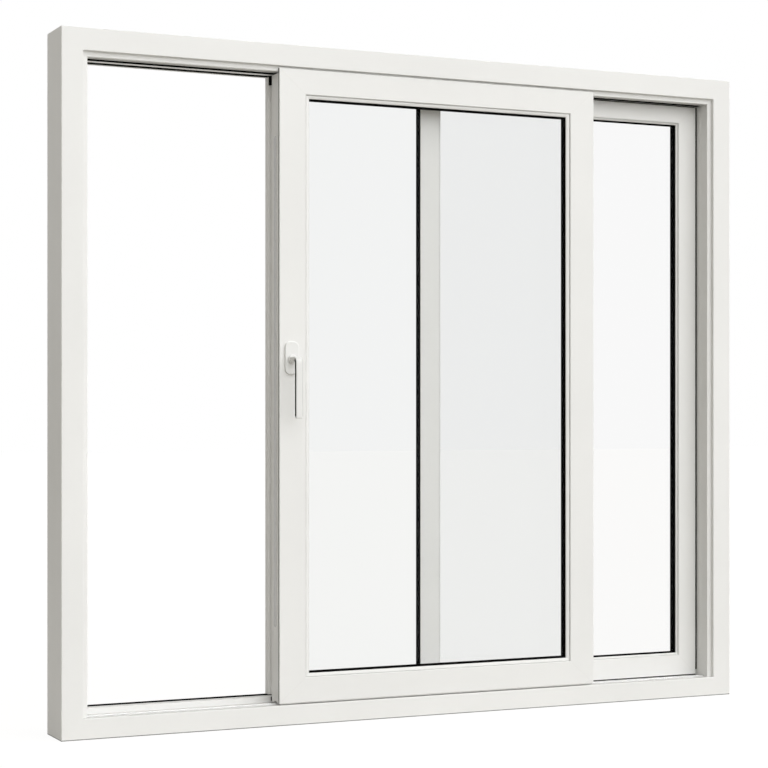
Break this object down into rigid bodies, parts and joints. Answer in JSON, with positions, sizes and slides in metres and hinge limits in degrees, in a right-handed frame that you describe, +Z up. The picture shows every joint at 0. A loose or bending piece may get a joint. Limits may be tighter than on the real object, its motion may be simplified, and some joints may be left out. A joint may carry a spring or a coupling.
{
  "type": "glass sliding patio door",
  "caption": "White framed patio door: a glazed leaf with a lever handle slides along a sill rail in front of a fixed glazed panel, inside a deep rectangular outer frame.",
  "frame": {"origin": "middle of the sill underside, halfway through the frame's depth", "axes": "+X to the right as seen from the room, +Y away from the room, +Z up"},
  "size_m": [2.35, 0.2163, 2.1],
  "materials": {
    "frame_white": "smooth white, satin",
    "bead_white": "smooth white, satin",
    "handle_white": "white powder coat",
    "glass": "clear",
    "seal_black": "matt black",
    "spacer_black": "matt black",
    "rail_metal": "plain drawn",
    "roller_steel": "turned",
    "guide_black": "moulded"
  },
  "bodies": {
    "frame": {"fixed_bead_bottom": "bead_white", "fixed_bead_left": "bead_white", "fixed_bead_right": "bead_white", "fixed_bead_top": "bead_white", "fixed_bottom_rail": "frame_white", "fixed_gasket": "seal_black", "fixed_left_stile": "frame_white", "fixed_meeting_seal": "seal_black", "fixed_pane_back": "glass", "fixed_pane_front": "glass", "fixed_right_stile": "frame_white", "fixed_seal": "seal_black", "fixed_spacer": "spacer_black", "fixed_top_rail": "frame_white", "head": "frame_white", "head_filler": "seal_black", "head_seal": "seal_black", "jamb_left": "frame_white", "jamb_right": "frame_white", "rail": "rail_metal", "sill": "frame_white", "sill_seal": "seal_black"},
    "leaf": {"leaf_bead_bottom": "bead_white", "leaf_bead_left": "bead_white", "leaf_bead_right": "bead_white", "leaf_bead_top": "bead_white", "leaf_bottom_rail": "frame_white", "leaf_gasket": "seal_black", "leaf_guides": "guide_black", "leaf_left_stile": "frame_white", "leaf_meeting_profile": "frame_white", "leaf_pane_back": "glass", "leaf_pane_front": "glass", "leaf_right_stile": "frame_white", "leaf_rollers": "roller_steel", "leaf_spacer": "spacer_black", "leaf_top_rail": "frame_white", "leaf_weather_bar": "frame_white", "handle_plate": "handle_white"},
    "lever": {"handle_lever": "handle_white"}
  },
  "joints": [
    {"name": "leaf_slide", "type": "slide", "parent": "frame", "child": "leaf", "axis": [1, 0, 0], "range_m": [-0.6019, 0.42]},
    {"name": "lever_turn", "type": "hinge", "parent": "leaf", "child": "lever", "pos_m": [-0.445, -0.107, 1.13], "axis": [0, -1, 0], "range_deg": [0, 90]}
  ]
}
